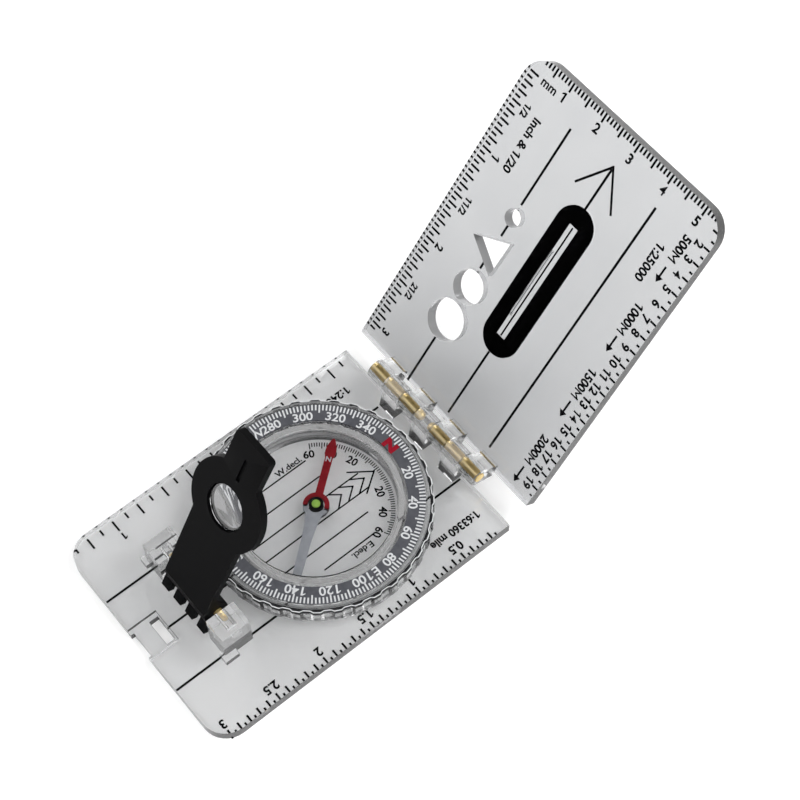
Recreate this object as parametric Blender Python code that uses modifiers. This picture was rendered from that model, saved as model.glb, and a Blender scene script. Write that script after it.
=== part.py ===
"""Folding baseplate compass: clear base plate, clear cover, magnifier arm and liquid capsule.

Frame: +Z up, Z = 0 on the underside, X = 0 at mid-width, the cover's hinge at +Y and the tail
with its lanyard slot at -Y. The cover and the arm stand part open. Metres.
"""

import math

import bmesh
import bpy
from mathutils import Matrix, Vector

MM = 0.001
GAP = 0.3 * MM

# Base plate
PLATE_HALF_WIDTH = 28.7 * MM
PLATE_THICKNESS = 3.0 * MM
PLATE_CORNER = 6.0 * MM
BASE_TAIL_Y = -48.7 * MM
BASE_HINGE_Y = 30.2 * MM
SLOT_HALF_WIDTH = 3.25 * MM
SLOT_Y = (-43.9 * MM, -41.7 * MM)
NOTCH_DEPTH = 0.8 * MM
RELIEF_HALF_WIDTH = 4.3 * MM
RELIEF_DEPTH = 1.0 * MM
CAPSULE_HOLE_RADIUS = 19.8 * MM

# Hinge and cover; cover sizes are measured from the hinge axis, along the cover
HINGE_Y = 30.5 * MM
HINGE_Z = 9.1 * MM
COVER_TILT = math.radians(51.56)
COVER_NEAR = 0.6 * MM
COVER_FAR = 80.0 * MM
COVER_OUTER = -8.0 * MM
KNUCKLE_COUNT = 7
KNUCKLE_SPAN = 36.2 * MM
KNUCKLE_RADIUS = 2.4 * MM
WEB_FOOT = 3.2 * MM
HINGE_PIN_RADIUS = 1.2 * MM
HINGE_PIN_INNER_X = 0.9 * MM
HOLE_LARGE = (-12.3 * MM, 18.7 * MM, 5.0 * MM)
HOLE_MEDIUM = (-12.0 * MM, 28.5 * MM, 4.1 * MM)
HOLE_SMALL = (-12.1 * MM, 48.0 * MM, 2.1 * MM)
HOLE_TRIANGLE = ((-18.0 * MM, 38.7 * MM), (-9.3 * MM, 33.9 * MM), (-9.1 * MM, 43.1 * MM))
MASK_X = 0.45 * MM
MASK_SPAN = (20.2 * MM, 60.4 * MM)
MASK_HALF_WIDTH = 5.0 * MM
MASK_THICKNESS = 0.4 * MM
WINDOW_X = 0.2 * MM
WINDOW_SPAN = (24.6 * MM, 55.7 * MM)
WINDOW_HALF_WIDTH = 1.3 * MM
GROOVE_SPAN = (31.5 * MM, 49.1 * MM)
GROOVE_HALF_WIDTH = 0.35 * MM
GROOVE_DEPTH = 0.4 * MM
MASK_GAP = 0.05 * MM

# Magnifier arm; along it from the pivot, and up from the pivot to its faces
ARM_Y = -32.3 * MM
ARM_Z = 9.0 * MM
ARM_TILT = math.radians(60.75)
ARM_FRONT = 4.3 * MM
ARM_BACK = 2.5 * MM
ARM_TIP = 46.2 * MM
TAB_HALF_WIDTH = 5.3 * MM
TAB_CORNER = 0.9 * MM
NECK_HALF_WIDTH = 5.2 * MM
BOSS_RADIUS = 10.4 * MM
BOSS_CENTRE = 28.5 * MM
WAIST_HALF_WIDTH = 7.3 * MM
FOOT_HALF_WIDTH = 6.95 * MM
BARREL_RADIUS = 2.6 * MM
LENS_CENTRE = 27.8 * MM
LENS_RADIUS = 5.0 * MM
LENS_THROAT = 4.6 * MM
LENS_EDGE = (3.4 * MM, 3.7 * MM)
LENS_BULGE = 0.25 * MM
TOOTH_COUNT = 4
TOOTH_PITCH = 4.2 * MM
TOOTH_WIDTH = 2.6 * MM
TOOTH_TIP = -5.6 * MM
ARM_PIN_RADIUS = 1.0 * MM
ARM_PIN_X = (5.0 * MM, 9.6 * MM)
ARM_BORE_X = 12.1 * MM
EAR_X = (8.4 * MM, 14.2 * MM)
EAR_Y = (-36.2 * MM, -29.1 * MM)
EAR_TOP = 12.4 * MM
EAR_FOOT_X = 15.6 * MM
EAR_FOOT_Y = (-37.1 * MM, -33.6 * MM)
EAR_FOOT_TOP = 4.6 * MM

# Bezel, capsule and needle
CAPSULE_Y = -0.7 * MM
BEZEL_RADIUS = 25.35 * MM
RIB_RADIUS = 25.75 * MM
RIB_COUNT = 36
BEZEL_BORE = 19.7 * MM
BEZEL_Z = (3.3 * MM, 9.6 * MM)
RIM_STEP = (24.8 * MM, 8.8 * MM)
SKIRT_TOP = 4.3 * MM
DIAL_RECESS = (24.2 * MM, 8.8 * MM)
DIAL_RADII = (20.0 * MM, 23.9 * MM)
DIAL_Z = (9.1 * MM, 9.5 * MM)
SPRING_RADIUS = 21.6 * MM
SPRING_WIRE = 0.5 * MM
SPRING_Z = 3.9 * MM
CUP_RADIUS = 19.3 * MM
CUP_INNER = 18.0 * MM
CUP_TOP = 9.3 * MM
CUP_FLOOR = 1.2 * MM
LEDGE_INNER = 17.2 * MM
LEDGE_TOP = 3.2 * MM
DISK_RADIUS = 17.7 * MM
DISK_Z = (3.5 * MM, 4.0 * MM)
LID_RADIUS = 17.7 * MM
LID_Z = (9.0 * MM, 9.7 * MM)
LID_DOME = 0.5 * MM
PLUG_RADIUS = 0.9 * MM
PLUG_Y = -15.0 * MM
PIVOT_RADIUS = 0.45 * MM
PIVOT_Z = (1.5 * MM, 6.85 * MM)
NEEDLE_TURN = math.radians(38.0)
NEEDLE_Z = (7.35 * MM, 7.75 * MM)
NEEDLE_RING = (1.9 * MM, 2.9 * MM)
NORTH_TIP = 16.6 * MM
SOUTH_TIP = 17.0 * MM
HUB_RADIUS = 1.6 * MM
HUB_Z = (6.65 * MM, 8.2 * MM)
JEWEL_RADIUS = 0.85 * MM
JEWEL_Z = (6.55 * MM, 7.35 * MM)
DOT_RADIUS = 0.95 * MM


def clear_scene():
    """Remove what the startup file brings."""
    for obj in list(bpy.data.objects):
        bpy.data.objects.remove(obj, do_unlink=True)


def new_collection(name):
    """A collection under the scene's own."""
    made = bpy.data.collections.new(name)
    bpy.context.scene.collection.children.link(made)
    return made


def paint(obj, name, colour, roughness, metallic=0.0, transmission=0.0):
    """Give the object a Principled material of its own."""
    made = bpy.data.materials.new(name)
    made.use_nodes = True
    shader = made.node_tree.nodes["Principled BSDF"]
    shader.inputs["Base Color"].default_value = (*colour, 1.0)
    shader.inputs["Roughness"].default_value = roughness
    shader.inputs["Metallic"].default_value = metallic
    shader.inputs["Transmission Weight"].default_value = transmission
    obj.data.materials.clear()
    obj.data.materials.append(made)


def pivot(name, location, rotation, collection):
    """An empty on a joint's axis."""
    made = bpy.data.objects.new(name, None)
    made.location = location
    made.rotation_euler = rotation
    made.empty_display_size = 5 * MM
    collection.objects.link(made)
    return made


def mesh_object(name, bm, collection):
    """An object made from a bmesh, which is freed."""
    bmesh.ops.recalc_face_normals(bm, faces=bm.faces)
    mesh = bpy.data.meshes.new(name)
    bm.to_mesh(mesh)
    bm.free()
    made = bpy.data.objects.new(name, mesh)
    collection.objects.link(made)
    return made


def box(name, low, high, collection):
    """A box between two corners."""
    low, high = Vector(low), Vector(high)
    bm = bmesh.new()
    bmesh.ops.create_cube(bm, size=1.0)
    bmesh.ops.scale(bm, vec=high - low, verts=bm.verts)
    bmesh.ops.translate(bm, vec=(low + high) / 2, verts=bm.verts)
    return mesh_object(name, bm, collection)


def rod(name, radius, start, end, collection, segments=24, tip_radius=None):
    """A cylinder, or a cone frustum, from start to end."""
    start, end = Vector(start), Vector(end)
    along = end - start
    bm = bmesh.new()
    bmesh.ops.create_cone(bm, cap_ends=True, segments=segments, radius1=radius,
                          radius2=radius if tip_radius is None else tip_radius,
                          depth=along.length)
    turn = Vector((0, 0, 1)).rotation_difference(along).to_matrix().to_4x4()
    bmesh.ops.transform(bm, matrix=Matrix.Translation((start + end) / 2) @ turn, verts=bm.verts)
    return mesh_object(name, bm, collection)


def prism(name, loops, low, high, collection):
    """A flat outline with holes, as a filled 2D curve, extruded along Z from low to high."""
    curve = bpy.data.curves.new(name, "CURVE")
    curve.dimensions = "2D"
    curve.fill_mode = "BOTH"
    curve.extrude = (high - low) / 2
    for loop in loops:
        spline = curve.splines.new("POLY")
        spline.points.add(len(loop) - 1)
        for point, (x, y) in zip(spline.points, loop):
            point.co = (x, y, 0.0, 1.0)
        spline.use_cyclic_u = True
    guide = bpy.data.objects.new(name + "_outline", curve)
    collection.objects.link(guide)
    graph = bpy.context.evaluated_depsgraph_get()
    mesh = bpy.data.meshes.new_from_object(guide.evaluated_get(graph))
    bpy.data.objects.remove(guide, do_unlink=True)
    bm = bmesh.new()
    bm.from_mesh(mesh)
    bmesh.ops.remove_doubles(bm, verts=bm.verts, dist=0.0000005)
    bmesh.ops.translate(bm, vec=(0, 0, (low + high) / 2), verts=bm.verts)
    return mesh_object(name, bm, collection)


def prism_across(name, loop, half_width, middle, collection):
    """An outline drawn in Y, Z and extruded along X, about the middle."""
    made = prism(name, [loop], -half_width, half_width, collection)
    swap = Matrix(((0, 0, 1, middle), (1, 0, 0, 0), (0, 1, 0, 0), (0, 0, 0, 1)))
    made.data.transform(swap)
    return made


def turned(name, profile, collection, steps=64):
    """A closed profile of (radius, height) points turned about Z; radius 0 points meet the axis."""
    bm = bmesh.new()
    verts = [bm.verts.new((radius, 0.0, height)) for radius, height in profile]
    for first, second in zip(verts, verts[1:]):
        bm.edges.new((first, second))
    if profile[0][0] > 0:
        bm.edges.new((verts[-1], verts[0]))
    mesh = bpy.data.meshes.new(name)
    bm.to_mesh(mesh)
    bm.free()
    made = bpy.data.objects.new(name, mesh)
    collection.objects.link(made)
    screw = made.modifiers.new("turn", "SCREW")
    screw.steps = steps
    screw.render_steps = steps
    screw.use_merge_vertices = True
    screw.merge_threshold = 0.000001
    return made


def combine(target, other, operation):
    """A Boolean with another object."""
    modifier = target.modifiers.new(other.name, "BOOLEAN")
    modifier.operation = operation
    modifier.object = other
    modifier.solver = "EXACT"


def hang(axis, *objects):
    """Parent the objects, drawn round the axis's own origin, to it."""
    for obj in objects:
        obj.parent = axis


def circle(radius, centre, steps):
    """Points round a circle."""
    angles = [2 * math.pi * i / steps for i in range(steps)]
    return [(centre[0] + radius * math.cos(a), centre[1] + radius * math.sin(a)) for a in angles]


def arc(radius, centre, start_deg, end_deg, steps):
    """Points along an arc, ends included."""
    angles = [math.radians(start_deg + (end_deg - start_deg) * i / steps) for i in range(steps + 1)]
    return [(centre[0] + radius * math.cos(a), centre[1] + radius * math.sin(a)) for a in angles]


def rectangle(x_low, x_high, y_low, y_high):
    """The corners of a rectangle."""
    return [(x_low, y_low), (x_high, y_low), (x_high, y_high), (x_low, y_high)]


def base_outline():
    """The base plate: square corners at the hinge, round ones at the tail, a notch behind the slot."""
    inner = PLATE_HALF_WIDTH - PLATE_CORNER
    tail = BASE_TAIL_Y + PLATE_CORNER
    left = arc(PLATE_CORNER, (-inner, tail), 180, 270, 8)
    right = arc(PLATE_CORNER, (inner, tail), 270, 360, 8)
    bar = BASE_TAIL_Y + NOTCH_DEPTH
    notch = [(-SLOT_HALF_WIDTH, BASE_TAIL_Y), (-SLOT_HALF_WIDTH, bar),
             (SLOT_HALF_WIDTH, bar), (SLOT_HALF_WIDTH, BASE_TAIL_Y)]
    return left + notch + right + [(PLATE_HALF_WIDTH, BASE_HINGE_Y), (-PLATE_HALF_WIDTH, BASE_HINGE_Y)]


def cover_outline():
    """The cover plate: square corners at the hinge, round ones at the far edge."""
    inner = PLATE_HALF_WIDTH - PLATE_CORNER
    far = COVER_FAR - PLATE_CORNER
    right = arc(PLATE_CORNER, (inner, far), 0, 90, 8)
    left = arc(PLATE_CORNER, (-inner, far), 90, 180, 8)
    return right + left + [(-PLATE_HALF_WIDTH, COVER_NEAR), (PLATE_HALF_WIDTH, COVER_NEAR)]


def knuckle(name, index, side, near, face, collection):
    """A hinge knuckle round Y = Z = 0 on a web standing on a plate face, the plate on one side."""
    pitch = KNUCKLE_SPAN / KNUCKLE_COUNT
    middle = (index - (KNUCKLE_COUNT - 1) / 2) * pitch
    foot = face - GAP
    barrel = arc(KNUCKLE_RADIUS, (0, 0), -25, 205, 14)
    loop = [(-near - WEB_FOOT, foot), (-near, foot)] + barrel
    if side > 0:
        loop = [(-y, z) for y, z in reversed(loop)]
    return prism_across(name, loop, (pitch - GAP) / 2, middle, collection)


def make_base(parts, cutters):
    """The clear base plate with its hinge knuckles, the arm's two ears and the lanyard slot."""
    slot = rectangle(-SLOT_HALF_WIDTH, SLOT_HALF_WIDTH, *SLOT_Y)
    hole = circle(CAPSULE_HOLE_RADIUS, (0, CAPSULE_Y), 72)
    plate = prism("base_plate", [base_outline(), slot, hole], 0.0, PLATE_THICKNESS, parts)
    for index in range(1, KNUCKLE_COUNT, 2):
        web = knuckle(f"base_knuckle_{index}", index, -1, HINGE_Y - BASE_HINGE_Y,
                      PLATE_THICKNESS - HINGE_Z, cutters)
        web.location = (0, HINGE_Y, HINGE_Z)
        combine(plate, web, "UNION")
    for side in (-1, 1):
        low, high = sorted((side * EAR_X[0], side * EAR_X[1]))
        ear = box(f"ear_{side}", (low, EAR_Y[0], PLATE_THICKNESS - GAP),
                  (high, EAR_Y[1], EAR_TOP), cutters)
        low, high = sorted((side * EAR_X[1] - side * MM, side * EAR_FOOT_X))
        foot = box(f"ear_foot_{side}", (low, EAR_FOOT_Y[0], PLATE_THICKNESS - GAP),
                   (high, EAR_FOOT_Y[1], EAR_FOOT_TOP), cutters)
        combine(plate, ear, "UNION")
        combine(plate, foot, "UNION")
    bore = rod("hinge_bore", HINGE_PIN_RADIUS + GAP, (-KNUCKLE_SPAN, HINGE_Y, HINGE_Z),
               (KNUCKLE_SPAN, HINGE_Y, HINGE_Z), cutters)
    reach = ARM_BORE_X
    arm_bore = rod("arm_bore", ARM_PIN_RADIUS + GAP, (-reach, ARM_Y, ARM_Z),
                   (reach, ARM_Y, ARM_Z), cutters)
    relief = box("tail_relief", (-RELIEF_HALF_WIDTH, BASE_TAIL_Y - MM, PLATE_THICKNESS - RELIEF_DEPTH),
                 (RELIEF_HALF_WIDTH, SLOT_Y[1] + GAP, PLATE_THICKNESS + MM), cutters)
    for cutter in (bore, arm_bore, relief):
        combine(plate, cutter, "DIFFERENCE")
    paint(plate, "clear_acrylic_base", (0.86, 0.87, 0.88), 0.03, transmission=1.0)


def mask_loop(grow):
    """The sight mask's outline, with parallel sides and round ends, grown by an amount."""
    half = MASK_HALF_WIDTH + grow
    low, high = MASK_SPAN[0] + MASK_HALF_WIDTH, MASK_SPAN[1] - MASK_HALF_WIDTH
    return arc(half, (MASK_X, high), 0, 180, 16) + arc(half, (MASK_X, low), 180, 360, 16)


def make_cover(parts, cutters, axis):
    """The clear cover with its knuckles, stencil holes and sighting groove, and the oval mask."""
    inner = COVER_OUTER + PLATE_THICKNESS
    loops = [cover_outline(), list(HOLE_TRIANGLE)]
    for x, y, radius in (HOLE_LARGE, HOLE_MEDIUM, HOLE_SMALL):
        loops.append(circle(radius, (x, y), 32))
    plate = prism("cover_plate", loops, COVER_OUTER, inner, parts)
    for index in range(0, KNUCKLE_COUNT, 2):
        web = knuckle(f"cover_knuckle_{index}", index, 1, -COVER_NEAR, inner, cutters)
        hang(axis, web)
        combine(plate, web, "UNION")
    bore = rod("cover_bore", HINGE_PIN_RADIUS + GAP, (-KNUCKLE_SPAN, 0, 0),
               (KNUCKLE_SPAN, 0, 0), cutters)
    pocket = prism("mask_pocket", [mask_loop(MASK_GAP)], COVER_OUTER - MM,
                   COVER_OUTER + MASK_THICKNESS + MASK_GAP, cutters)
    groove = box("sight_groove_cover", (-GROOVE_HALF_WIDTH, GROOVE_SPAN[0], inner - GROOVE_DEPTH),
                 (GROOVE_HALF_WIDTH, GROOVE_SPAN[1], inner + MM), cutters)
    for cutter in (bore, pocket, groove):
        hang(axis, cutter)
        combine(plate, cutter, "DIFFERENCE")
    window = rectangle(WINDOW_X - WINDOW_HALF_WIDTH, WINDOW_X + WINDOW_HALF_WIDTH, *WINDOW_SPAN)
    mask = prism("sight_mask", [mask_loop(0.0), window], COVER_OUTER,
                 COVER_OUTER + MASK_THICKNESS, parts)
    hang(axis, plate, mask)
    paint(plate, "clear_acrylic_cover", (0.86, 0.87, 0.88), 0.03, transmission=1.0)
    paint(mask, "mask_black", (0.015, 0.015, 0.018), 0.35)


def make_hinge_pins(parts):
    """Two brass pins with rounded inner ends, one from each end of the cover hinge."""
    radius = HINGE_PIN_RADIUS
    length = KNUCKLE_SPAN / 2 - HINGE_PIN_INNER_X
    dome = [(radius * math.sin(math.radians(a)), -radius * (1 - math.cos(math.radians(a))))
            for a in (0, 22.5, 45, 67.5, 90)]
    profile = dome + [(radius, -length), (0.0, -length)]
    for side, name in ((-1, "hinge_pin_left"), (1, "hinge_pin_right")):
        pin = turned(name, profile, parts, steps=24)
        pin.location = (side * HINGE_PIN_INNER_X, HINGE_Y, HINGE_Z)
        pin.rotation_euler = (0, -side * math.pi / 2, 0)
        paint(pin, name + "_brass", (0.72, 0.5, 0.2), 0.3, metallic=1.0)


def arm_loop():
    """The arm from the front: foot, waist, round lens boss, neck and tab."""
    low = -math.degrees(math.acos(WAIST_HALF_WIDTH / BOSS_RADIUS))
    high = math.degrees(math.acos(NECK_HALF_WIDTH / BOSS_RADIUS))
    boss = arc(BOSS_RADIUS, (0, BOSS_CENTRE), low, high, 18)
    corner = (TAB_HALF_WIDTH - TAB_CORNER, ARM_TIP - TAB_CORNER)
    tab = arc(TAB_CORNER, corner, 0, 90, 5)
    right = [(FOOT_HALF_WIDTH, -4 * MM), (FOOT_HALF_WIDTH, MM)] + boss + tab
    return right + [(-x, y) for x, y in reversed(right)]


def arm_side_loop():
    """The arm from its side: a flat plate over a barrel round the pivot."""
    plate = [(ARM_TIP + MM, ARM_BACK), (ARM_TIP + MM, ARM_FRONT), (0.7 * MM, ARM_FRONT)]
    barrel = arc(BARREL_RADIUS, (0, 0), 145, 340, 12)
    return plate + [(-2.4 * MM, 2.5 * MM)] + barrel + [(5.0 * MM, ARM_BACK)]


def make_arm(parts, cutters, axis):
    """The black sight arm with its teeth, pin bores, lens seat and sight groove, and its lens."""
    arm = prism("sight_arm", [arm_loop()], -4 * MM, 6 * MM, parts)
    side = prism_across("arm_side", arm_side_loop(), 20 * MM, 0.0, cutters)
    hang(axis, side)
    combine(arm, side, "INTERSECT")
    for index in range(TOOTH_COUNT):
        middle = (index - (TOOTH_COUNT - 1) / 2) * TOOTH_PITCH
        tooth = box(f"arm_tooth_{index}", (middle - TOOTH_WIDTH / 2, TOOTH_TIP, 0.8 * MM),
                    (middle + TOOTH_WIDTH / 2, -1.6 * MM, 2.3 * MM), cutters)
        hang(axis, tooth)
        combine(arm, tooth, "UNION")
    centre = Vector((0, LENS_CENTRE, 0))
    up = Vector((0, 0, 1))
    seat = rod("lens_seat", LENS_RADIUS + GAP, centre + up * (LENS_EDGE[0] - GAP),
               centre + up * (ARM_FRONT + MM), cutters, segments=48)
    throat = rod("lens_throat", LENS_THROAT, centre + up * (ARM_BACK - MM),
                 centre + up * (ARM_FRONT + MM), cutters, segments=48)
    groove = box("sight_groove", (-0.5 * MM, LENS_CENTRE + 8.0 * MM, ARM_FRONT - 0.45 * MM),
                 (0.5 * MM, ARM_TIP - 4.5 * MM, ARM_FRONT + MM), cutters)
    cuts = [seat, throat, groove]
    for sign in (-1, 1):
        cuts.append(rod(f"arm_pin_bore_{sign}", ARM_PIN_RADIUS + GAP,
                        (sign * (ARM_PIN_X[0] - GAP), 0, 0), (sign * 20 * MM, 0, 0), cutters))
    for cutter in cuts:
        hang(axis, cutter)
        combine(arm, cutter, "DIFFERENCE")
    steps = [i / 5 for i in range(6)]
    top = [(LENS_RADIUS * t, LENS_EDGE[1] + LENS_BULGE * (1 - t * t)) for t in steps]
    bottom = [(LENS_RADIUS * t, LENS_EDGE[0] - LENS_BULGE * (1 - t * t)) for t in reversed(steps)]
    lens = turned("magnifier_lens", top + bottom, parts, steps=40)
    lens.location = centre
    hang(axis, arm, lens)
    paint(arm, "arm_black", (0.02, 0.02, 0.022), 0.45)
    paint(lens, "lens_clear", (0.95, 0.96, 0.97), 0.0, transmission=1.0)


def make_arm_pins(parts):
    """The arm's two brass stub pins, one in each ear."""
    for side, name in ((-1, "arm_pin_left"), (1, "arm_pin_right")):
        ends = [(side * x, ARM_Y, ARM_Z) for x in ARM_PIN_X]
        pin = rod(name, ARM_PIN_RADIUS, *ends, parts)
        paint(pin, name + "_brass", (0.72, 0.5, 0.2), 0.3, metallic=1.0)


def bezel_loop():
    """The bezel's castellated rim."""
    loop = []
    half = 360 / RIB_COUNT / 2
    for index in range(RIB_COUNT):
        start = index * 2 * half
        loop += arc(RIB_RADIUS, (0, 0), start + 0.15 * half, start + 0.85 * half, 1)
        loop += arc(BEZEL_RADIUS, (0, 0), start + 1.15 * half, start + 1.85 * half, 1)
    return loop


def make_bezel(parts, cutters, axis):
    """The clear ribbed bezel, the dark dial ring in its top and the spring ring under it."""
    low, high = BEZEL_Z
    bezel = prism("bezel_ring", [bezel_loop(), circle(BEZEL_BORE, (0, 0), 72)], low, high, parts)
    recess = turned("dial_recess", [(BEZEL_BORE - MM, high + MM), (DIAL_RECESS[0], high + MM),
                                    DIAL_RECESS, (BEZEL_BORE - MM, DIAL_RECESS[1])], cutters)
    reach = SPRING_WIRE + GAP
    groove = turned("spring_groove", [(SPRING_RADIUS - reach, SPRING_Z + reach),
                                      (SPRING_RADIUS + reach, SPRING_Z + reach),
                                      (SPRING_RADIUS + reach, low - MM),
                                      (SPRING_RADIUS - reach, low - MM)], cutters)
    skirt = turned("rib_relief", [(BEZEL_RADIUS, SKIRT_TOP), (BEZEL_RADIUS + 2 * MM, SKIRT_TOP),
                                  (BEZEL_RADIUS + 2 * MM, low - MM), (BEZEL_RADIUS, low - MM)],
                   cutters, steps=72)
    step = turned("rim_step", [(RIM_STEP[0], high + MM), (RIM_STEP[0] + 2 * MM, high + MM),
                               (RIM_STEP[0] + 2 * MM, RIM_STEP[1]), RIM_STEP], cutters, steps=72)
    for cutter in (recess, groove, skirt, step):
        hang(axis, cutter)
        combine(bezel, cutter, "DIFFERENCE")
    dial = turned("dial_ring", [(DIAL_RADII[0], DIAL_Z[1]), (DIAL_RADII[1], DIAL_Z[1]),
                                (DIAL_RADII[1], DIAL_Z[0]), (DIAL_RADII[0], DIAL_Z[0])], parts)
    wire = [(SPRING_RADIUS + x, SPRING_Z + z) for x, z in reversed(circle(SPRING_WIRE, (0, 0), 8))]
    spring = turned("bezel_spring_ring", wire, parts, steps=48)
    hang(axis, bezel, dial, spring)
    paint(bezel, "clear_bezel", (0.84, 0.86, 0.88), 0.05, transmission=1.0)
    paint(dial, "dial_grey", (0.075, 0.08, 0.1), 0.4)
    paint(spring, "spring_steel", (0.55, 0.56, 0.58), 0.3, metallic=1.0)


def make_capsule(parts, cutters, axis):
    """The capsule's cup and lid with the printed disk, the fill plug and the needle's pivot."""
    profile = [(0.0, CUP_FLOOR), (LEDGE_INNER, CUP_FLOOR), (LEDGE_INNER, LEDGE_TOP),
               (CUP_INNER, LEDGE_TOP), (CUP_INNER, CUP_TOP), (CUP_RADIUS, CUP_TOP),
               (CUP_RADIUS, 0.0), (0.0, 0.0)]
    cup = turned("capsule_cup", profile, parts)
    hole = rod("plug_hole", PLUG_RADIUS + GAP, (0, PLUG_Y, -MM), (0, PLUG_Y, CUP_FLOOR + MM), cutters)
    hang(axis, hole)
    combine(cup, hole, "DIFFERENCE")
    plug = rod("fill_plug", PLUG_RADIUS, (0, PLUG_Y, 0.1 * MM), (0, PLUG_Y, CUP_FLOOR), parts)
    disk = turned("orienting_disk", [(PIVOT_RADIUS + GAP, DISK_Z[1]), (DISK_RADIUS, DISK_Z[1]),
                                     (DISK_RADIUS, DISK_Z[0]), (PIVOT_RADIUS + GAP, DISK_Z[0])], parts)
    rings = [i / 6 for i in range(7)]
    dome = [(LID_RADIUS * t, LID_Z[1] + LID_DOME * (1 - t * t)) for t in rings]
    lid = turned("capsule_lid", dome + [(LID_RADIUS, LID_Z[0]), (0.0, LID_Z[0])], parts)
    pin = turned("pivot_pin", [(0.0, PIVOT_Z[1]), (PIVOT_RADIUS, PIVOT_Z[1] - 1.2 * MM),
                               (PIVOT_RADIUS, PIVOT_Z[0]), (0.0, PIVOT_Z[0])], parts, steps=16)
    hang(axis, cup, plug, disk, lid, pin)
    paint(cup, "clear_cup", (0.88, 0.9, 0.9), 0.03, transmission=1.0)
    paint(plug, "plug_clear", (0.8, 0.8, 0.8), 0.2)
    paint(disk, "clear_disk", (0.86, 0.87, 0.88), 0.05, transmission=1.0)
    paint(lid, "clear_lid", (0.92, 0.93, 0.94), 0.02, transmission=1.0)
    paint(pin, "pivot_steel", (0.6, 0.6, 0.62), 0.25, metallic=1.0)


def make_needle(parts, axis):
    """The needle's red and pale halves, magnet, jewel, hub cap and luminous dot."""
    inner, outer = NEEDLE_RING
    half = 0.85 * MM
    edge = math.degrees(math.asin(half / outer))
    head_y = NORTH_TIP - 4.4 * MM
    head = [(half, head_y - 0.6 * MM), (1.2 * MM, head_y + 0.4 * MM), (1.15 * MM, head_y + 2.0 * MM),
            (0.45 * MM, NORTH_TIP - 0.5 * MM), (0.0, NORTH_TIP)]
    head += [(-x, y) for x, y in reversed(head[:-1])]
    loop = (arc(outer, (0, 0), -10, 90 - edge, 10) + head + arc(outer, (0, 0), 90 + edge, 190, 10)
            + arc(inner, (0, 0), 190, -10, 16))
    north = prism("needle_north", [loop], *NEEDLE_Z, parts)
    loop = (arc(inner, (0, 0), -22, -158, 12) + arc(outer, (0, 0), -158, -128, 5)
            + [(-1.35 * MM, -5.2 * MM), (-1.15 * MM, -8.0 * MM), (-0.95 * MM, -SOUTH_TIP),
               (0.95 * MM, -SOUTH_TIP), (1.15 * MM, -8.0 * MM), (1.35 * MM, -5.2 * MM)]
            + arc(outer, (0, 0), -52, -22, 5))
    south = prism("needle_south", [loop], *NEEDLE_Z, parts)
    magnet_top = NEEDLE_Z[0] - GAP
    magnet = turned("needle_magnet", [(inner, magnet_top), (outer, magnet_top),
                                      (outer, magnet_top - 0.6 * MM),
                                      (inner, magnet_top - 0.6 * MM)], parts, steps=32)
    low, high = HUB_Z
    pocket = JEWEL_RADIUS + GAP
    cap = turned("hub_cap", [(0.0, high - 0.4 * MM), (DOT_RADIUS + GAP, high - 0.4 * MM),
                             (DOT_RADIUS + GAP, high), (HUB_RADIUS, high), (HUB_RADIUS, low),
                             (pocket, low), (pocket, JEWEL_Z[1] + GAP * 0.5),
                             (0.0, JEWEL_Z[1] + GAP * 0.5)], parts, steps=32)
    jewel = turned("jewel_bearing", [(0.0, JEWEL_Z[1]), (JEWEL_RADIUS, JEWEL_Z[1]),
                                     (JEWEL_RADIUS, JEWEL_Z[0]), (0.6 * MM, JEWEL_Z[0]),
                                     (0.0, PIVOT_Z[1] + GAP * 0.7)], parts, steps=24)
    dot = rod("luminous_dot", DOT_RADIUS, (0, 0, high - 0.25 * MM), (0, 0, high), parts)
    hang(axis, north, south, magnet, cap, jewel, dot)
    paint(north, "needle_red", (0.6, 0.02, 0.04), 0.4)
    paint(south, "needle_pale", (0.72, 0.73, 0.75), 0.4)
    paint(magnet, "magnet_grey", (0.2, 0.2, 0.22), 0.4, metallic=1.0)
    paint(cap, "hub_black", (0.02, 0.02, 0.02), 0.4)
    paint(jewel, "jewel_clear", (0.7, 0.1, 0.2), 0.1, transmission=0.6)
    paint(dot, "luminous_green", (0.35, 0.75, 0.15), 0.5)


def finish(parts, cutters):
    """Hide the cutters and shade the round pieces smooth."""
    cutters.hide_render = True
    for obj in cutters.objects:
        obj.hide_render = True
        obj.display_type = "WIRE"
    round_pieces = ("hinge_pin_left", "hinge_pin_right", "arm_pin_left", "arm_pin_right",
                    "magnifier_lens", "bezel_spring_ring", "capsule_lid")
    for name in round_pieces:
        for face in parts.objects[name].data.polygons:
            face.use_smooth = True
    for obj in list(parts.objects) + list(cutters.objects):
        for modifier in obj.modifiers:
            if modifier.type == "SCREW":
                modifier.use_smooth_shade = obj.name in round_pieces


def main():
    clear_scene()
    parts = new_collection("baseplate_compass")
    cutters = new_collection("cutters")
    cover_axis = pivot("cover_axis", (0, HINGE_Y, HINGE_Z), (COVER_TILT, 0, 0), parts)
    arm_axis = pivot("arm_axis", (0, ARM_Y, ARM_Z), (ARM_TILT, 0, 0), parts)
    bezel_axis = pivot("bezel_axis", (0, CAPSULE_Y, 0), (0, 0, 0), parts)
    needle_axis = pivot("needle_axis", (0, CAPSULE_Y, 0), (0, 0, NEEDLE_TURN), parts)
    make_base(parts, cutters)
    make_cover(parts, cutters, cover_axis)
    make_hinge_pins(parts)
    make_arm(parts, cutters, arm_axis)
    make_arm_pins(parts)
    make_bezel(parts, cutters, bezel_axis)
    make_capsule(parts, cutters, bezel_axis)
    make_needle(parts, needle_axis)
    finish(parts, cutters)


main()
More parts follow.
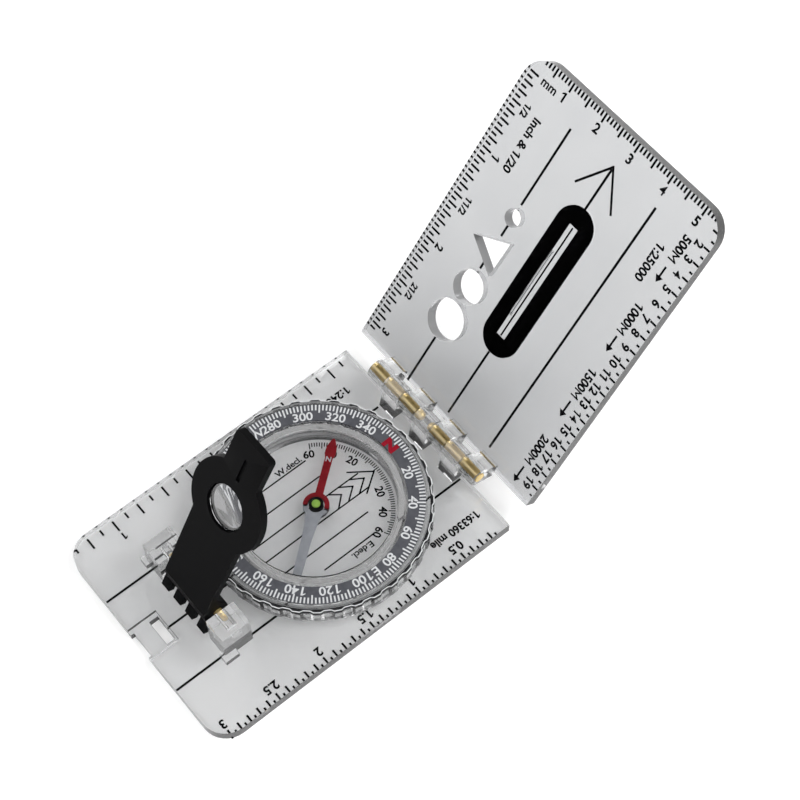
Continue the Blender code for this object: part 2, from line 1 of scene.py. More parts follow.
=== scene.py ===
"""Looks of the folding baseplate compass: clear plates with printed scales, dial, needle and arm.

All sizes are in millimetres in the CAD frame unless a name says otherwise.
"""

import math

import bmesh
import bpy
from mathutils import Matrix, Vector


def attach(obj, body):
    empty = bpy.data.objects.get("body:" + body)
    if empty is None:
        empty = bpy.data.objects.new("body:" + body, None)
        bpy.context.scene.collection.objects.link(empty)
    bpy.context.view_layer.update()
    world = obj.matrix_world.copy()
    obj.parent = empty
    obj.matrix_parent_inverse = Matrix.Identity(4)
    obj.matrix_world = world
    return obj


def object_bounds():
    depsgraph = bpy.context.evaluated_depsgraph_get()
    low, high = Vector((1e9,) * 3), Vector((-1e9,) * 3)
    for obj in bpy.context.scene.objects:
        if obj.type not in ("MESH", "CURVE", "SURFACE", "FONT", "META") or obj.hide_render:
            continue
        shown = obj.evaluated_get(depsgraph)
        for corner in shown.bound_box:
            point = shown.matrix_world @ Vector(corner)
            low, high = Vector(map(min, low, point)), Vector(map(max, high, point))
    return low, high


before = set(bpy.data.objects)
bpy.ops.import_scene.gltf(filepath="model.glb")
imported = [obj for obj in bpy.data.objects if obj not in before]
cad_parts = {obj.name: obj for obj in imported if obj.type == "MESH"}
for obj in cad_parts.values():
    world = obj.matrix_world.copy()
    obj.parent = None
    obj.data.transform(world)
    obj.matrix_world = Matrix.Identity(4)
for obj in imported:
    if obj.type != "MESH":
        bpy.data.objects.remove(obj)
CAD_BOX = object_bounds()

MM = 0.001
COVER = Matrix.Translation((0, 30.5, 9.1)) @ Matrix.Rotation(math.radians(51.56), 4, "X")
COVER_PRINT_Z = -7.95
BASE_PRINT_Z = 0.05
COVER_LENGTH = 80.0
DISK_PRINT_Z = 4.03
CAPSULE = Matrix.Translation((0, -0.7, 0))
DIAL_PRINT_Z = 9.53
NEEDLE_PRINT_Z = 7.78
NEEDLE_TURN = math.radians(38.0)
HALF_WIDTH = 28.7
CORNER = 6.0
TWENTIETH_INCH = 1.27
HUNDRED_METRES = 4.0  # at 1:25000
MILE_24000 = 67.056
MILE_63360 = 25.4
MILE_ZERO = 30.9
CAP_HEIGHT = 0.73  # of the typeface, at size 1
BLEND = 0.0003  # metres over which one look changes into another
INK_ROUGHNESS = (0.5, 0.65)
NOISE_RANGE = (0.3, 0.7)  # where nearly all of a noise texture's values lie

TICK_RADIUS = 23.88
NUMERAL_RADIUS = 20.95
BEZEL_RIBS = 36
RIB_RADIUS = 25.75
GROOVE_RADIUS = 25.35
STEP_RADIUS = 24.86
STEP_Z = 8.82

WHITE = (1.0, 1.0, 1.0, 1.0)
UP = Vector((0, 0, 1))


# Materials

def new_material(name):
    """An empty node material and its Principled shader."""
    made = bpy.data.materials.new(name)
    made.use_nodes = True
    shader = made.node_tree.nodes["Principled BSDF"]
    return made, shader


def noise(made, scale, detail=3.0, stretch=None):
    """A noise texture in object coordinates, stretched if asked."""
    nodes, links = made.node_tree.nodes, made.node_tree.links
    where = nodes.new("ShaderNodeTexCoord")
    texture = nodes.new("ShaderNodeTexNoise")
    texture.inputs["Scale"].default_value = scale
    texture.inputs["Detail"].default_value = detail
    source = where.outputs["Object"]
    if stretch:
        mapping = nodes.new("ShaderNodeMapping")
        mapping.inputs["Scale"].default_value = stretch
        links.new(source, mapping.inputs["Vector"])
        source = mapping.outputs["Vector"]
    links.new(source, texture.inputs["Vector"])
    return texture


def ramp_between(made, source, low, high, output_low, output_high):
    """A value that goes from one output to another as the source goes from low to high."""
    nodes, links = made.node_tree.nodes, made.node_tree.links
    ranged = nodes.new("ShaderNodeMapRange")
    ranged.inputs["From Min"].default_value = low
    ranged.inputs["From Max"].default_value = high
    ranged.inputs["To Min"].default_value = output_low
    ranged.inputs["To Max"].default_value = output_high
    links.new(source, ranged.inputs["Value"])
    return ranged.outputs["Result"]


def spread(made, texture, low, high, socket):
    """Send the noise to a value socket, between two values."""
    value = ramp_between(made, texture.outputs["Fac"], *NOISE_RANGE, low, high)
    made.node_tree.links.new(value, socket)


def tint(made, texture, low, high, socket):
    """Send the noise to a colour socket, between two colours."""
    nodes, links = made.node_tree.nodes, made.node_tree.links
    ramp = nodes.new("ShaderNodeValToRGB")
    for element, place, colour in zip(ramp.color_ramp.elements, NOISE_RANGE, (low, high)):
        element.position = place
        element.color = (*colour, 1.0)
    links.new(texture.outputs["Fac"], ramp.inputs["Fac"])
    links.new(ramp.outputs["Color"], socket)


def bump(made, texture, shader, strength, distance):
    """Bump from the noise, its distance in metres."""
    nodes, links = made.node_tree.nodes, made.node_tree.links
    made_bump = nodes.new("ShaderNodeBump")
    made_bump.inputs["Strength"].default_value = strength
    made_bump.inputs["Distance"].default_value = distance
    links.new(texture.outputs["Fac"], made_bump.inputs["Height"])
    links.new(made_bump.outputs["Normal"], shader.inputs["Normal"])


def clear_plastic(name, low, high, ior=1.49, wave=0.0, clarity=1.0):
    """Clear cast acrylic: a faint cool tint, a polish that varies a little and a slow wave."""
    made, shader = new_material(name)
    shader.inputs["Transmission Weight"].default_value = clarity
    shader.inputs["IOR"].default_value = ior
    slow = noise(made, 60.0, 2.0)
    tint(made, slow, low, high, shader.inputs["Base Color"])
    spread(made, slow, 0.0, 0.02, shader.inputs["Roughness"])
    if wave:
        bump(made, noise(made, 35.0, 1.0), shader, 0.2, wave)
    return made


def position_along(made, way):
    """How far a point lies along a direction, in metres from the frame's origin."""
    nodes, links = made.node_tree.nodes, made.node_tree.links
    where = nodes.new("ShaderNodeTexCoord")
    dot = nodes.new("ShaderNodeVectorMath")
    dot.operation = "DOT_PRODUCT"
    dot.inputs[1].default_value = way
    links.new(where.outputs["Object"], dot.inputs[0])
    return dot.outputs["Value"]


def calculate(made, operation, first, second=None):
    """A Math node on one or two sockets or numbers."""
    nodes, links = made.node_tree.nodes, made.node_tree.links
    node = nodes.new("ShaderNodeMath")
    node.operation = operation
    for place, value in enumerate((first, second)):
        if isinstance(value, float):
            node.inputs[place].default_value = value
        elif value is not None:
            links.new(value, node.inputs[place])
    return node.outputs["Value"]


def set_clarity(made, value):
    """Drive how clear a plastic is by a value that varies over it."""
    shader = made.node_tree.nodes["Principled BSDF"]
    made.node_tree.links.new(value, shader.inputs["Transmission Weight"])


def cloud_above(made, height, clarity):
    """Make a plastic less clear above a height in metres, for the moulded knuckles and ears."""
    set_clarity(made, ramp_between(made, position_along(made, UP),
                                   height, height + BLEND, 1.0, clarity))


def band(made, way, middle, half):
    """1 within a half width of a middle along a direction, in metres, and 0 beyond."""
    off = calculate(made, "SUBTRACT", position_along(made, way), middle)
    return ramp_between(made, calculate(made, "ABSOLUTE", off), half, half + BLEND, 1.0, 0.0)


def frost_holes(made, clarity):
    """Make the stencil holes' walls less clear than the cover's polished faces."""
    nodes, links = made.node_tree.nodes, made.node_tree.links
    turn = COVER.to_3x3()
    along, normal = turn @ Vector((0, 1, 0)), turn @ UP
    where = nodes.new("ShaderNodeTexCoord")
    dot = nodes.new("ShaderNodeVectorMath")
    dot.operation = "DOT_PRODUCT"
    dot.inputs[1].default_value = normal
    links.new(where.outputs["Normal"], dot.inputs[0])
    facing = calculate(made, "ABSOLUTE", dot.outputs["Value"])
    wall = ramp_between(made, facing, 0.4, 0.8, 1.0, 0.0)
    hinge = along.dot(COVER.translation) * MM
    inside = calculate(made, "MULTIPLY", band(made, Vector((1, 0, 0)), -0.0129, 0.009),
                       band(made, along, hinge + 0.034, 0.028))
    hole = calculate(made, "MULTIPLY", wall, inside)
    loss = calculate(made, "MULTIPLY", hole, 1.0 - clarity)
    set_clarity(made, calculate(made, "SUBTRACT", 1.0, loss))


def lighten_knuckles(made, colour):
    """Take the tint out of the cover's knuckles, which stand above its plate."""
    nodes, links = made.node_tree.nodes, made.node_tree.links
    socket = nodes["Principled BSDF"].inputs["Base Color"]
    normal = COVER.to_3x3() @ UP
    hinge = normal.dot(COVER.translation) * MM
    above = ramp_between(made, position_along(made, normal),
                         hinge - 0.0049, hinge - 0.0043, 0.0, 1.0)
    mix = nodes.new("ShaderNodeMix")
    mix.data_type = "RGBA"
    factor, plate, knuckle = (mix.inputs[place] for place in (0, 6, 7))
    links.new(socket.links[0].from_socket, plate)
    knuckle.default_value = (*colour, 1.0)
    links.new(above, factor)
    links.new(mix.outputs[2], socket)


def painted(name, low, high, roughness=(0.4, 0.55), scale=900.0, grain=0.0, specular=0.5):
    """Opaque print, paint or moulding with a fine mottle and a grain."""
    made, shader = new_material(name)
    fine = noise(made, scale, 4.0)
    tint(made, fine, low, high, shader.inputs["Base Color"])
    spread(made, fine, *roughness, shader.inputs["Roughness"])
    shader.inputs["Specular IOR Level"].default_value = specular
    if grain:
        bump(made, fine, shader, 0.35, grain)
    return made


def metal(name, low, high, roughness=(0.18, 0.38), stretch=(60.0, 900.0, 900.0), whole=1.0):
    """Drawn metal with lengthwise streaks."""
    made, shader = new_material(name)
    shader.inputs["Metallic"].default_value = whole
    streak = noise(made, 3.0, 4.0, stretch)
    tint(made, streak, low, high, shader.inputs["Base Color"])
    spread(made, streak, *roughness, shader.inputs["Roughness"])
    bump(made, streak, shader, 0.15, 0.00002)
    return made


# Flat prints

def add_flags(mesh, words, height, weight):
    """Give each numeral 1 its flag, since the typeface draws it as a plain bar."""
    bm = bmesh.new()
    bm.from_mesh(mesh)
    left = set(bm.verts)
    bars = []
    while left:
        island, edge = set(), [left.pop()]
        while edge:
            vert = edge.pop()
            island.add(vert)
            for link in vert.link_edges:
                other = link.other_vert(vert)
                if other in left:
                    left.remove(other)
                    edge.append(other)
        xs = [vert.co.x for vert in island]
        ys = [vert.co.y for vert in island]
        narrow = max(xs) - min(xs) < 0.26 * height + 2 * weight
        if narrow and max(ys) - min(ys) > 0.9 * height:
            bars.append((min(xs), max(ys)))
    reach, drop, stroke = 0.26 * height, 0.2 * height, 0.1 * height + weight
    for letter, (x, top) in zip((letter for letter in words if letter in "1lI"), sorted(bars)):
        if letter == "1":
            corners = ((x, top), (x, top - stroke * 1.5),
                       (x - reach, top - drop - stroke), (x - reach, top - drop))
            bm.faces.new([bm.verts.new((*corner, 0.0)) for corner in corners][::-1])
    bm.to_mesh(mesh)
    bm.free()


class Print:
    """A thin printed layer: lines, polygons and letters on one plane, made into one mesh."""

    def __init__(self, matrix, level):
        self.bm = bmesh.new()
        self.matrix = matrix @ Matrix.Translation((0, 0, level))

    def polygon(self, points):
        self.bm.faces.new([self.bm.verts.new(self.matrix @ Vector((x, y, 0)))
                           for x, y in points])

    def line(self, start, end, width, square=0.0):
        start, end = Vector(start), Vector(end)
        along = (end - start).normalized()
        side = Vector((-along.y, along.x)) * width / 2
        start, end = start - along * square, end + along * square
        self.polygon([start - side, end - side, end + side, start + side])

    def path(self, points, width):
        for start, end in zip(points, points[1:]):
            self.line(start, end, width, width / 2)

    def text(self, words, height, centre, turn_deg=0.0, width=1.0, weight=0.0):
        """Words of a given capital height about a centre, turned anticlockwise."""
        curve = bpy.data.curves.new("words", "FONT")
        curve.body = words
        curve.size = height / CAP_HEIGHT
        curve.align_x = "CENTER"
        curve.align_y = "CENTER"
        curve.resolution_u = 4
        curve.offset = weight
        made = bpy.data.objects.new("words", curve)
        bpy.context.scene.collection.objects.link(made)
        graph = bpy.context.evaluated_depsgraph_get()
        mesh = bpy.data.meshes.new_from_object(made.evaluated_get(graph))
        if "1" in words:
            add_flags(mesh, words, height, weight)
        place = (self.matrix @ Matrix.Translation((*centre, 0))
                 @ Matrix.Rotation(math.radians(turn_deg), 4, "Z")
                 @ Matrix.Diagonal((width, 1, 1, 1)))
        mesh.transform(place)
        self.bm.from_mesh(mesh)
        bpy.data.objects.remove(made)
        bpy.data.meshes.remove(mesh)

    def finish(self, name, material, body):
        bmesh.ops.scale(self.bm, vec=(MM, MM, MM), verts=self.bm.verts)
        mesh = bpy.data.meshes.new(name)
        self.bm.to_mesh(mesh)
        self.bm.free()
        mesh.materials.append(material)
        made = bpy.data.objects.new(name, mesh)
        bpy.context.scene.collection.objects.link(made)
        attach(made, body)
        return made


def corner_inset(x):
    """How far the rounded corner cuts in from the cover's far edge at this x."""
    over = abs(x) - (HALF_WIDTH - CORNER)
    return 0.0 if over <= 0 else CORNER - math.sqrt(max(CORNER ** 2 - over ** 2, 0.0))


def far(distance):
    """A distance from the cover's far edge as a distance along the cover from its hinge."""
    return COVER_LENGTH - distance


def print_base(ink):
    """Direction lines and the two mile scales, under the base plate."""
    layer = Print(Matrix.Identity(4), BASE_PRINT_Z)
    for x, low, high in ((-13.2, -48.2, 27.1), (-0.05, -41.5, -19.9), (12.6, -48.4, 29.7)):
        layer.line((x, low), (x, high), 0.52)
    for step in range(1, 24):
        y = MILE_ZERO - MILE_24000 * 0.05 * step
        layer.line((-28.2, y), (-28.2 + (2.9 if step % 2 == 0 else 1.6), y), 0.45)
    layer.text("1", 1.8, (-23.8, MILE_ZERO - MILE_24000), -90, weight=0.08)
    layer.text("1:24000 mile", 2.0, (-21.3, 17.7), -90, weight=0.08)
    for step in range(3, 61):
        y = MILE_ZERO - MILE_63360 * 0.05 * step
        layer.line((28.3, y), (26.4 if step % 2 == 0 else 27.4, y), 0.47)
    for step in range(1, 7):
        place = (24.7, MILE_ZERO - MILE_63360 / 2 * step)
        layer.text(f"{step / 2:g}", 2.1, place, -90, weight=0.09)
    layer.text("1:63360 mile", 1.95, (21.4, 20.8), -90, width=0.95, weight=0.09)
    layer.finish("base_print", ink, "base")


def metres(layer, digits, centre):
    """A distance in metres that reads down the plate, its M drawn with lines to stay open."""
    x, y = centre
    digit = 1.43
    layer.text(digits, 2.1, (x, y + 1.15), -90, weight=0.11)
    start = y + 1.15 - digit * len(digits) / 2 - 0.3
    layer.path([(x - 0.9, start), (x + 0.9, start), (x - 0.2, start - 0.85),
                (x + 0.9, start - 1.7), (x - 0.9, start - 1.7)], 0.36)


def print_cover(ink):
    """Direction lines, arrow, inch, millimetre and 1:25000 scales, under the cover."""
    layer = Print(COVER, COVER_PRINT_Z)
    for low, high in ((8.7, 29.3), (34.6, 37.9), (44.6, 47.1), (66.6, 79.7)):
        layer.line((-12.9, far(low)), (-12.9, far(high)), 0.6)
    layer.line((13.0, far(8.6)), (13.0, far(77.0)), 0.6)
    layer.line((0.1, far(9.0)), (0.1, far(20.1)), 0.6)
    layer.path([(-5.3, far(16.5)), (0.08, far(8.45)), (5.6, far(16.6))], 0.55)
    layer.line((0.08, far(24.8)), (0.08, far(55.2)), 0.42)
    layer.path([(-0.5, far(32.2)), (-0.85, far(32.2)), (-0.85, far(49.8)), (-0.5, far(49.8))], 0.18)
    layer.line((0.0, far(60.0)), (0.0, far(78.5)), 0.58)
    for step in range(2, 57):
        x = -27.85 + step
        start = corner_inset(x) + 0.25
        end = 3.05 if step % 5 == 0 else 2.1
        if end - start > 0.3:
            layer.line((x, far(start)), (x, far(end)), 0.52)
    layer.text("mm", 2.1, (-22.5, far(5.1)), 0, weight=0.08)
    for number, x in ((1, -18.2), (2, -8.0), (3, 2.1), (4, 12.1), (5, 21.9)):
        layer.text(str(number), 2.3, (x, far(4.85)), 0, weight=0.05 if number == 4 else 0.1)
    for step in range(4, 62):
        v = TWENTIETH_INCH * step
        inset = CORNER - math.sqrt(CORNER ** 2 - (CORNER - v) ** 2) if v < CORNER else 0.0
        layer.line((-28.5 + inset, far(v)), (-25.8 if step % 2 == 0 else -26.9, far(v)), 0.52)
    for words, v in (("1/2", 12.8), ("1", 25.7), ("11/2", 38.9),
                     ("2", 50.7), ("21/2", 63.6), ("3", 75.9)):
        small = "/" in words
        layer.text(words, 1.75 if small else 2.15, (-24.3, far(v)), -90, weight=0.1)
    layer.text("Inch & 1/20", 2.1, (-20.6, far(19.2)), -90, width=1.05, weight=0.1)
    for step in range(2, 20):
        v = HUNDRED_METRES * step - 0.35
        layer.line((26.4, far(v)), (28.55, far(v)), 0.5)
        layer.line((27.0, far(v - 1.9)), (27.85, far(v - 1.9)), 0.5)
        weight = 0.06 if "4" in str(step) else 0.11
        layer.text(str(step), 2.05, (25.1, far(HUNDRED_METRES * step)), -90, weight=weight)
    layer.line((25.9, far(3.65)), (27.2, far(3.65)), 0.5)
    layer.line((27.1, far(77.7)), (27.75, far(77.7)), 0.45)
    layer.text("1:25000", 2.1, (18.6, far(18.3)), -90, width=1.02, weight=0.1)
    for words, middle, tail, tip in (("500", 11.6, 16.5, 20.5), ("1000", 30.6, 35.5, 39.8),
                                     ("1500", 49.1, 54.2, 58.7), ("2000", 68.7, 73.9, 78.4)):
        metres(layer, words, (22.4, far(middle)))
        layer.line((22.3, far(tail)), (22.3, far(tip - 1.2)), 0.5)
        layer.polygon([(21.3, far(tip - 1.5)), (22.3, far(tip)), (23.3, far(tip - 1.5))][::-1])
    layer.finish("cover_print", ink, "cover")


def print_disk(ink):
    """Orienting lines and arrow, and the declination scale, on the capsule's disk."""
    layer = Print(Matrix.Identity(4), DISK_PRINT_Z)
    for x, low, high in ((-11.4, -12.5, 5.1), (-6.4, -15.5, 5.1), (-1.65, -16.9, 12.0),
                         (2.45, -16.5, 12.0), (7.0, -15.0, 7.9), (11.8, -7.9, 5.8)):
        layer.line((x, low), (x, high), 0.34)
    layer.path([(-3.3, 10.3), (0.18, 15.0), (3.35, 10.5)], 0.36)
    for low, tip in ((3.8, 5.95), (6.6, 9.15), (9.6, 12.3)):
        layer.path([(-1.6, low), (0.12, tip), (2.4, low - 0.4)], 0.36)
    for step in range(-30, 31):
        angle = math.radians(2 * step)
        inner = 15.0 if step % 5 == 0 else 15.5
        way = Vector((math.sin(angle), math.cos(angle)))
        layer.line(way * inner, way * 16.5, 0.24)
    radius = 13.7
    for degrees in (-60, -40, -20, 20, 40, 60):
        angle = math.radians(degrees * 1.03)
        centre = (radius * math.sin(angle), radius * math.cos(angle))
        layer.text(str(abs(degrees)), 1.85, centre, -degrees * 1.03, weight=0.07)
    layer.text("W.decl.", 1.5, (-12.5, 1.2), 90, width=1.05, weight=0.05)
    layer.text("E.decl.", 1.5, (13.3, 1.4), -90, width=1.05, weight=0.05)
    layer.finish("disk_print", ink, "capsule")


def print_dial(white, red):
    """Degree ticks, numerals and the letters of the dial ring."""
    layer = Print(CAPSULE, DIAL_PRINT_Z)
    for step in range(180):
        angle = math.radians(2 * step)
        way = Vector((math.sin(angle), math.cos(angle)))
        layer.line(way * (21.9 if step % 5 == 0 else 22.5), way * TICK_RADIUS, 0.35)
    letters = {90.3: "E", 180.0: "S", 270.3: "W"}
    for degrees in list(range(20, 180, 20)) + list(range(200, 360, 20)) + list(letters):
        angle = math.radians(degrees)
        centre = (NUMERAL_RADIUS * math.sin(angle), NUMERAL_RADIUS * math.cos(angle))
        layer.text(letters.get(degrees, str(degrees)), 2.05, centre, -degrees,
                   width=1.1, weight=0.05)
    layer.finish("dial_print", white, "capsule")
    north = Print(CAPSULE, DIAL_PRINT_Z)
    north.text("N", 2.3, (-0.35, NUMERAL_RADIUS), 1.4, width=1.4, weight=0.22)
    north.finish("dial_north", red, "capsule")


def bezel_edges(ink, bright):
    """Painted shade and painted highlight lines in place of the dark and bright lines that
    refraction draws along the bezel's step and its rim.
    """
    bm = bmesh.new()
    outline = []
    for rib in range(BEZEL_RIBS):
        start = 10.0 * rib
        outline += [(start + 0.75, RIB_RADIUS), (start + 4.25, RIB_RADIUS),
                    (start + 5.75, GROOVE_RADIUS), (start + 9.25, GROOVE_RADIUS)]
    closing = (outline[0][0] + 360.0, RIB_RADIUS)

    def corner(degrees, radius, height):
        angle = math.radians(degrees)
        x, y = radius * math.cos(angle), radius * math.sin(angle) + CAPSULE.translation.y
        return bm.verts.new((x * MM, y * MM, height * MM))

    # The first material, passed in as ink, is painted shade: a dark band on the step's floor and a
    # dark sheet down the rim's outer wall. The second is a painted highlight line along the rim's
    # edge.
    for (first, near), (second, next_near) in zip(outline, outline[1:] + [closing]):
        bm.faces.new([corner(first, STEP_RADIUS, STEP_Z), corner(first, near - 0.24, STEP_Z),
                      corner(second, next_near - 0.24, STEP_Z),
                      corner(second, STEP_RADIUS, STEP_Z)])
        bm.faces.new([corner(first, near + 0.02, 7.75), corner(second, next_near + 0.02, 7.75),
                      corner(second, next_near + 0.02, 8.7), corner(first, near + 0.02, 8.7)])
        line = bm.faces.new([corner(first, near - 0.2, STEP_Z + 0.01),
                             corner(first, near - 0.01, STEP_Z + 0.01),
                             corner(second, next_near - 0.01, STEP_Z + 0.01),
                             corner(second, next_near - 0.2, STEP_Z + 0.01)])
        line.material_index = 1
    mesh = bpy.data.meshes.new("bezel_edges")
    bm.to_mesh(mesh)
    bm.free()
    mesh.materials.append(ink)
    mesh.materials.append(bright)
    made = bpy.data.objects.new("bezel_edges", mesh)
    bpy.context.scene.collection.objects.link(made)
    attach(made, "capsule")


def print_needle(white):
    """The letter on the needle's red end."""
    layer = Print(CAPSULE @ Matrix.Rotation(NEEDLE_TURN, 4, "Z"), NEEDLE_PRINT_Z)
    layer.text("N", 1.25, (0, 11.2), 0, weight=0.05)
    layer.finish("needle_letter", white, "needle")


def soften(name, width=0.0, split_deg=25.0):
    """Smooth shading between a CAD node's sharp edges, with a fine chamfer if it has a width."""
    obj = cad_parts[name]
    for face in obj.data.polygons:
        face.use_smooth = True
    weld = obj.modifiers.new("weld", "WELD")
    weld.merge_threshold = 0.000002
    if width:
        bevel = obj.modifiers.new("edges", "BEVEL")
        bevel.width = width * MM
        bevel.segments = 1
        bevel.limit_method = "ANGLE"
        bevel.angle_limit = math.radians(35.0)
        bevel.use_clamp_overlap = True
    split = obj.modifiers.new("split", "EDGE_SPLIT")
    split.split_angle = math.radians(split_deg)


def dress(name, material):
    """Give a CAD node its material."""
    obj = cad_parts[name]
    obj.data.materials.clear()
    obj.data.materials.append(material)


def dress_nodes():
    """Procedural materials for every CAD node."""
    plate = clear_plastic("acrylic_base", (0.87, 0.875, 0.88), (0.9, 0.902, 0.905),
                          wave=0.00001)
    cloud_above(plate, 0.0031, 0.9)
    cover = clear_plastic("acrylic_cover", (0.53, 0.535, 0.545), (0.56, 0.565, 0.572),
                          wave=0.00001)
    frost_holes(cover, 0.6)
    lighten_knuckles(cover, (0.78, 0.785, 0.785))
    bezel = clear_plastic("acrylic_bezel", (0.88, 0.885, 0.89), (0.93, 0.935, 0.94),
                          clarity=0.97)
    cup = clear_plastic("cup_clear", (0.93, 0.933, 0.937), (0.95, 0.952, 0.955), clarity=0.85)
    clear = clear_plastic("capsule_clear", (0.975, 0.977, 0.98), (0.985, 0.987, 0.99))
    disk = painted("disk_frost", (0.91, 0.912, 0.915), (0.95, 0.952, 0.955), (0.3, 0.4), 700.0,
                   specular=0.1)
    disk.node_tree.nodes["Principled BSDF"].inputs["Alpha"].default_value = 0.93
    lens = clear_plastic("lens_clear", (0.85, 0.86, 0.87), (0.9, 0.9, 0.91), ior=1.5)
    mask = painted("mask_black", (0.0015, 0.0015, 0.002), (0.003, 0.003, 0.0035), specular=0.02)
    arm = painted("arm_black", (0.0015, 0.0015, 0.0018), (0.0035, 0.0035, 0.004), (0.4, 0.55),
                  2500.0, grain=0.00003, specular=0.04)
    brass = metal("brass_drawn", (0.8, 0.56, 0.2), (1.0, 0.78, 0.36), (0.25, 0.4), whole=0.7)
    steel = metal("spring_steel", (0.5, 0.5, 0.52), (0.68, 0.68, 0.7))
    magnet = metal("magnet_dark", (0.16, 0.16, 0.17), (0.22, 0.22, 0.23))
    dial = painted("dial_slate", (0.068, 0.07, 0.08), (0.085, 0.087, 0.098), (0.35, 0.5),
                   specular=0.1)
    red = painted("needle_red", (0.24, 0.004, 0.01), (0.31, 0.008, 0.016), (0.35, 0.5), 600.0,
                  specular=0.2)
    pale = painted("needle_pale", (0.36, 0.375, 0.41), (0.45, 0.465, 0.5), (0.35, 0.5), 600.0,
                   specular=0.2)
    hub = painted("hub_black", (0.004, 0.004, 0.004), (0.01, 0.01, 0.01), specular=0.2)
    green = painted("luminous_green", (0.27, 0.5, 0.07), (0.38, 0.62, 0.1), (0.45, 0.6), 1500.0)
    plug = painted("plug_plastic", (0.6, 0.6, 0.62), (0.7, 0.7, 0.72))
    jewel = clear_plastic("jewel_red", (0.6, 0.1, 0.15), (0.7, 0.15, 0.2), ior=1.76)
    looks = {"base_plate": plate, "cover_plate": cover, "sight_mask": mask,
             "hinge_pin_left": brass, "hinge_pin_right": brass, "arm_pin_left": brass,
             "arm_pin_right": brass, "sight_arm": arm, "magnifier_lens": lens, "bezel_ring": bezel,
             "dial_ring": dial, "bezel_spring_ring": steel, "capsule_cup": cup,
             "capsule_lid": clear, "orienting_disk": disk, "fill_plug": plug, "pivot_pin": steel,
             "jewel_bearing": jewel, "needle_north": red, "needle_south": pale,
             "needle_magnet": magnet, "hub_cap": hub, "luminous_dot": green}
    for name, material in looks.items():
        dress(name, material)
    for name in ("base_plate", "cover_plate", "magnifier_lens", "capsule_cup", "capsule_lid",
                 "dial_ring", "orienting_disk"):
        soften(name)
    soften("sight_arm", 0.18)
    soften("hub_cap", 0.1)
    soften("bezel_ring", split_deg=4.0)


def floor_and_light():
    """A white floor and soft light from a bright surround and two wide lamps."""
    size = 12.0  # metres to each side
    mesh = bpy.data.meshes.new("floor")
    z = CAD_BOX[0][2] - 0.00005
    corners = [(-size, -size, z), (size, -size, z), (size, size, z), (-size, size, z)]
    mesh.from_pydata(corners, [], [(0, 1, 2, 3)])
    floor = bpy.data.objects.new("floor", mesh)
    bpy.context.scene.collection.objects.link(floor)
    made, shader = new_material("floor_white")
    shader.inputs["Base Color"].default_value = (0.95, 0.95, 0.95, 1.0)
    shader.inputs["Roughness"].default_value = 0.9
    shader.inputs["Specular IOR Level"].default_value = 0.0
    shader.inputs["Emission Color"].default_value = WHITE
    shader.inputs["Emission Strength"].default_value = 0.15
    mesh.materials.append(made)
    world = bpy.data.worlds.new("surround")
    bpy.context.scene.world = world
    world.use_nodes = True
    surround(world, ((-0.38, 0.3, 0.88), (-0.38, -0.92, 0.09)))
    for name, place, power, width in (("key", (0.45, 0.55, 0.8), 5.0, 0.5),
                                      ("fill", (-0.75, -0.15, 0.6), 2.0, 0.4)):
        lamp = bpy.data.lights.new(name, "AREA")
        lamp.energy = power
        lamp.size = width
        holder = bpy.data.objects.new(name, lamp)
        holder.location = place
        holder.rotation_euler = (-Vector(place)).to_track_quat("-Z", "Y").to_euler()
        bpy.context.scene.collection.objects.link(holder)


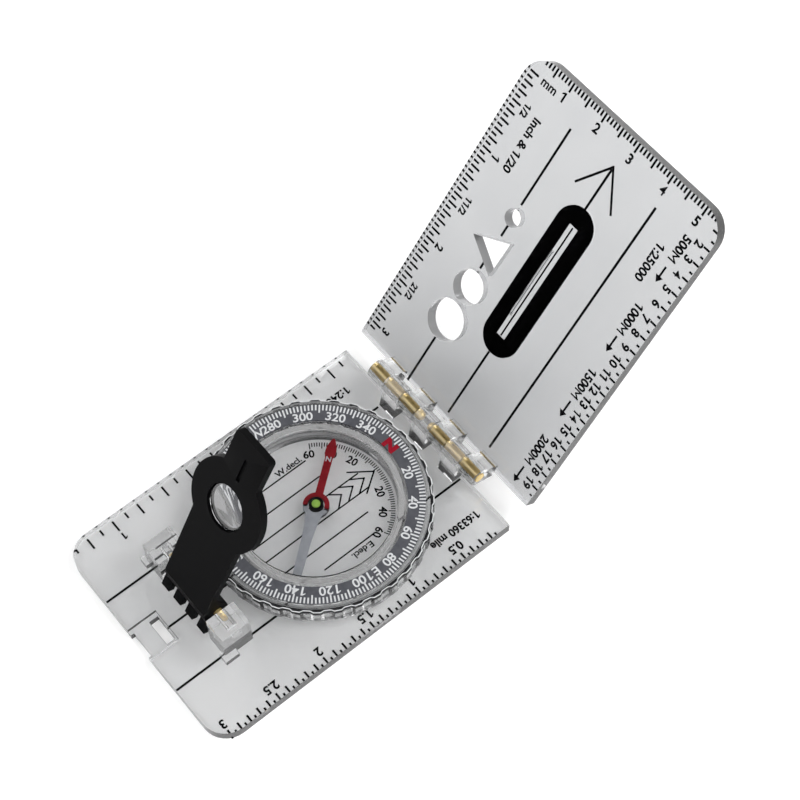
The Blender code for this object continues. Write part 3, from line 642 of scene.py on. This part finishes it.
def surround(world, cards, bright=1.25, dark=0.02, core=20.0, edge=38.0):
    """A bright surround, dim near the horizon, with soft dark cards where the plates mirror it.

    Core and edge are the angles, in degrees from a card's middle, between which it fades.
    """
    nodes, links = world.node_tree.nodes, world.node_tree.links
    back = nodes["Background"]
    where = nodes.new("ShaderNodeTexCoord")
    level = None
    for card in cards:
        dot = nodes.new("ShaderNodeVectorMath")
        dot.operation = "DOT_PRODUCT"
        dot.inputs[1].default_value = Vector(card).normalized()
        links.new(where.outputs["Generated"], dot.inputs[0])
        ranged = nodes.new("ShaderNodeMapRange")
        ranged.interpolation_type = "SMOOTHSTEP"
        ranged.inputs["From Min"].default_value = math.cos(math.radians(edge))
        ranged.inputs["From Max"].default_value = math.cos(math.radians(core))
        ranged.inputs["To Min"].default_value = bright
        ranged.inputs["To Max"].default_value = dark
        links.new(dot.outputs["Value"], ranged.inputs["Value"])
        if level is None:
            level = ranged.outputs["Result"]
        else:
            least = nodes.new("ShaderNodeMath")
            least.operation = "MINIMUM"
            links.new(level, least.inputs[0])
            links.new(ranged.outputs["Result"], least.inputs[1])
            level = least.outputs["Value"]
    parts = nodes.new("ShaderNodeSeparateXYZ")
    links.new(where.outputs["Generated"], parts.inputs["Vector"])
    rise = nodes.new("ShaderNodeMapRange")
    rise.interpolation_type = "SMOOTHSTEP"
    rise.inputs["From Min"].default_value = 0.08
    rise.inputs["From Max"].default_value = 0.35
    rise.inputs["To Min"].default_value = 0.12
    rise.inputs["To Max"].default_value = 1.0
    links.new(parts.outputs["Z"], rise.inputs["Value"])
    product = nodes.new("ShaderNodeMath")
    product.operation = "MULTIPLY"
    links.new(level, product.inputs[0])
    links.new(rise.outputs["Result"], product.inputs[1])
    back.inputs["Color"].default_value = WHITE
    links.new(product.outputs["Value"], back.inputs["Strength"])


def camera():
    """The photographer's viewpoint."""
    forward = Vector((-0.37975, 0.29561, -0.87659)).normalized()
    up = Vector((-0.67550, 0.55881, 0.48108)).normalized()
    right = forward.cross(up).normalized()
    up = right.cross(forward)
    lens = bpy.data.cameras.new("camera")
    lens.sensor_width = 36.0
    lens.lens = 89.03
    lens.clip_start = 0.01
    lens.clip_end = 20.0
    holder = bpy.data.objects.new("camera", lens)
    holder.matrix_world = Matrix.Translation((0.15934, -0.1009, 0.3954)) @ Matrix(
        (right, up, -forward)).transposed().to_4x4()
    bpy.context.scene.collection.objects.link(holder)
    bpy.context.scene.camera = holder
    bpy.context.scene.view_settings.view_transform = "Standard"


camera()
floor_and_light()
dress_nodes()
ink = painted("print_black", (0.004, 0.004, 0.005), (0.01, 0.01, 0.011), INK_ROUGHNESS, 2500.0,
              specular=0.05)
white_ink = painted("print_white", (0.52, 0.53, 0.54), (0.64, 0.65, 0.66), INK_ROUGHNESS, 2500.0,
                    specular=0.1)
red_ink = painted("print_red", (0.2, 0.003, 0.012), (0.27, 0.006, 0.018), INK_ROUGHNESS, 2500.0,
                  specular=0.1)
print_base(ink)
print_cover(ink)
print_disk(ink)
print_dial(white_ink, red_ink)
print_needle(white_ink)
# A painted shade material and a painted highlight material for the bezel's refraction lines.
bezel_edges(painted("painted_edge_shade", (0.012, 0.012, 0.013), (0.03, 0.03, 0.032), (0.4, 0.5), 400.0,
                    specular=0.1),
            painted("painted_edge_highlight", (0.7, 0.71, 0.72), (0.8, 0.81, 0.82), (0.4, 0.5), 400.0,
                    specular=0.1))
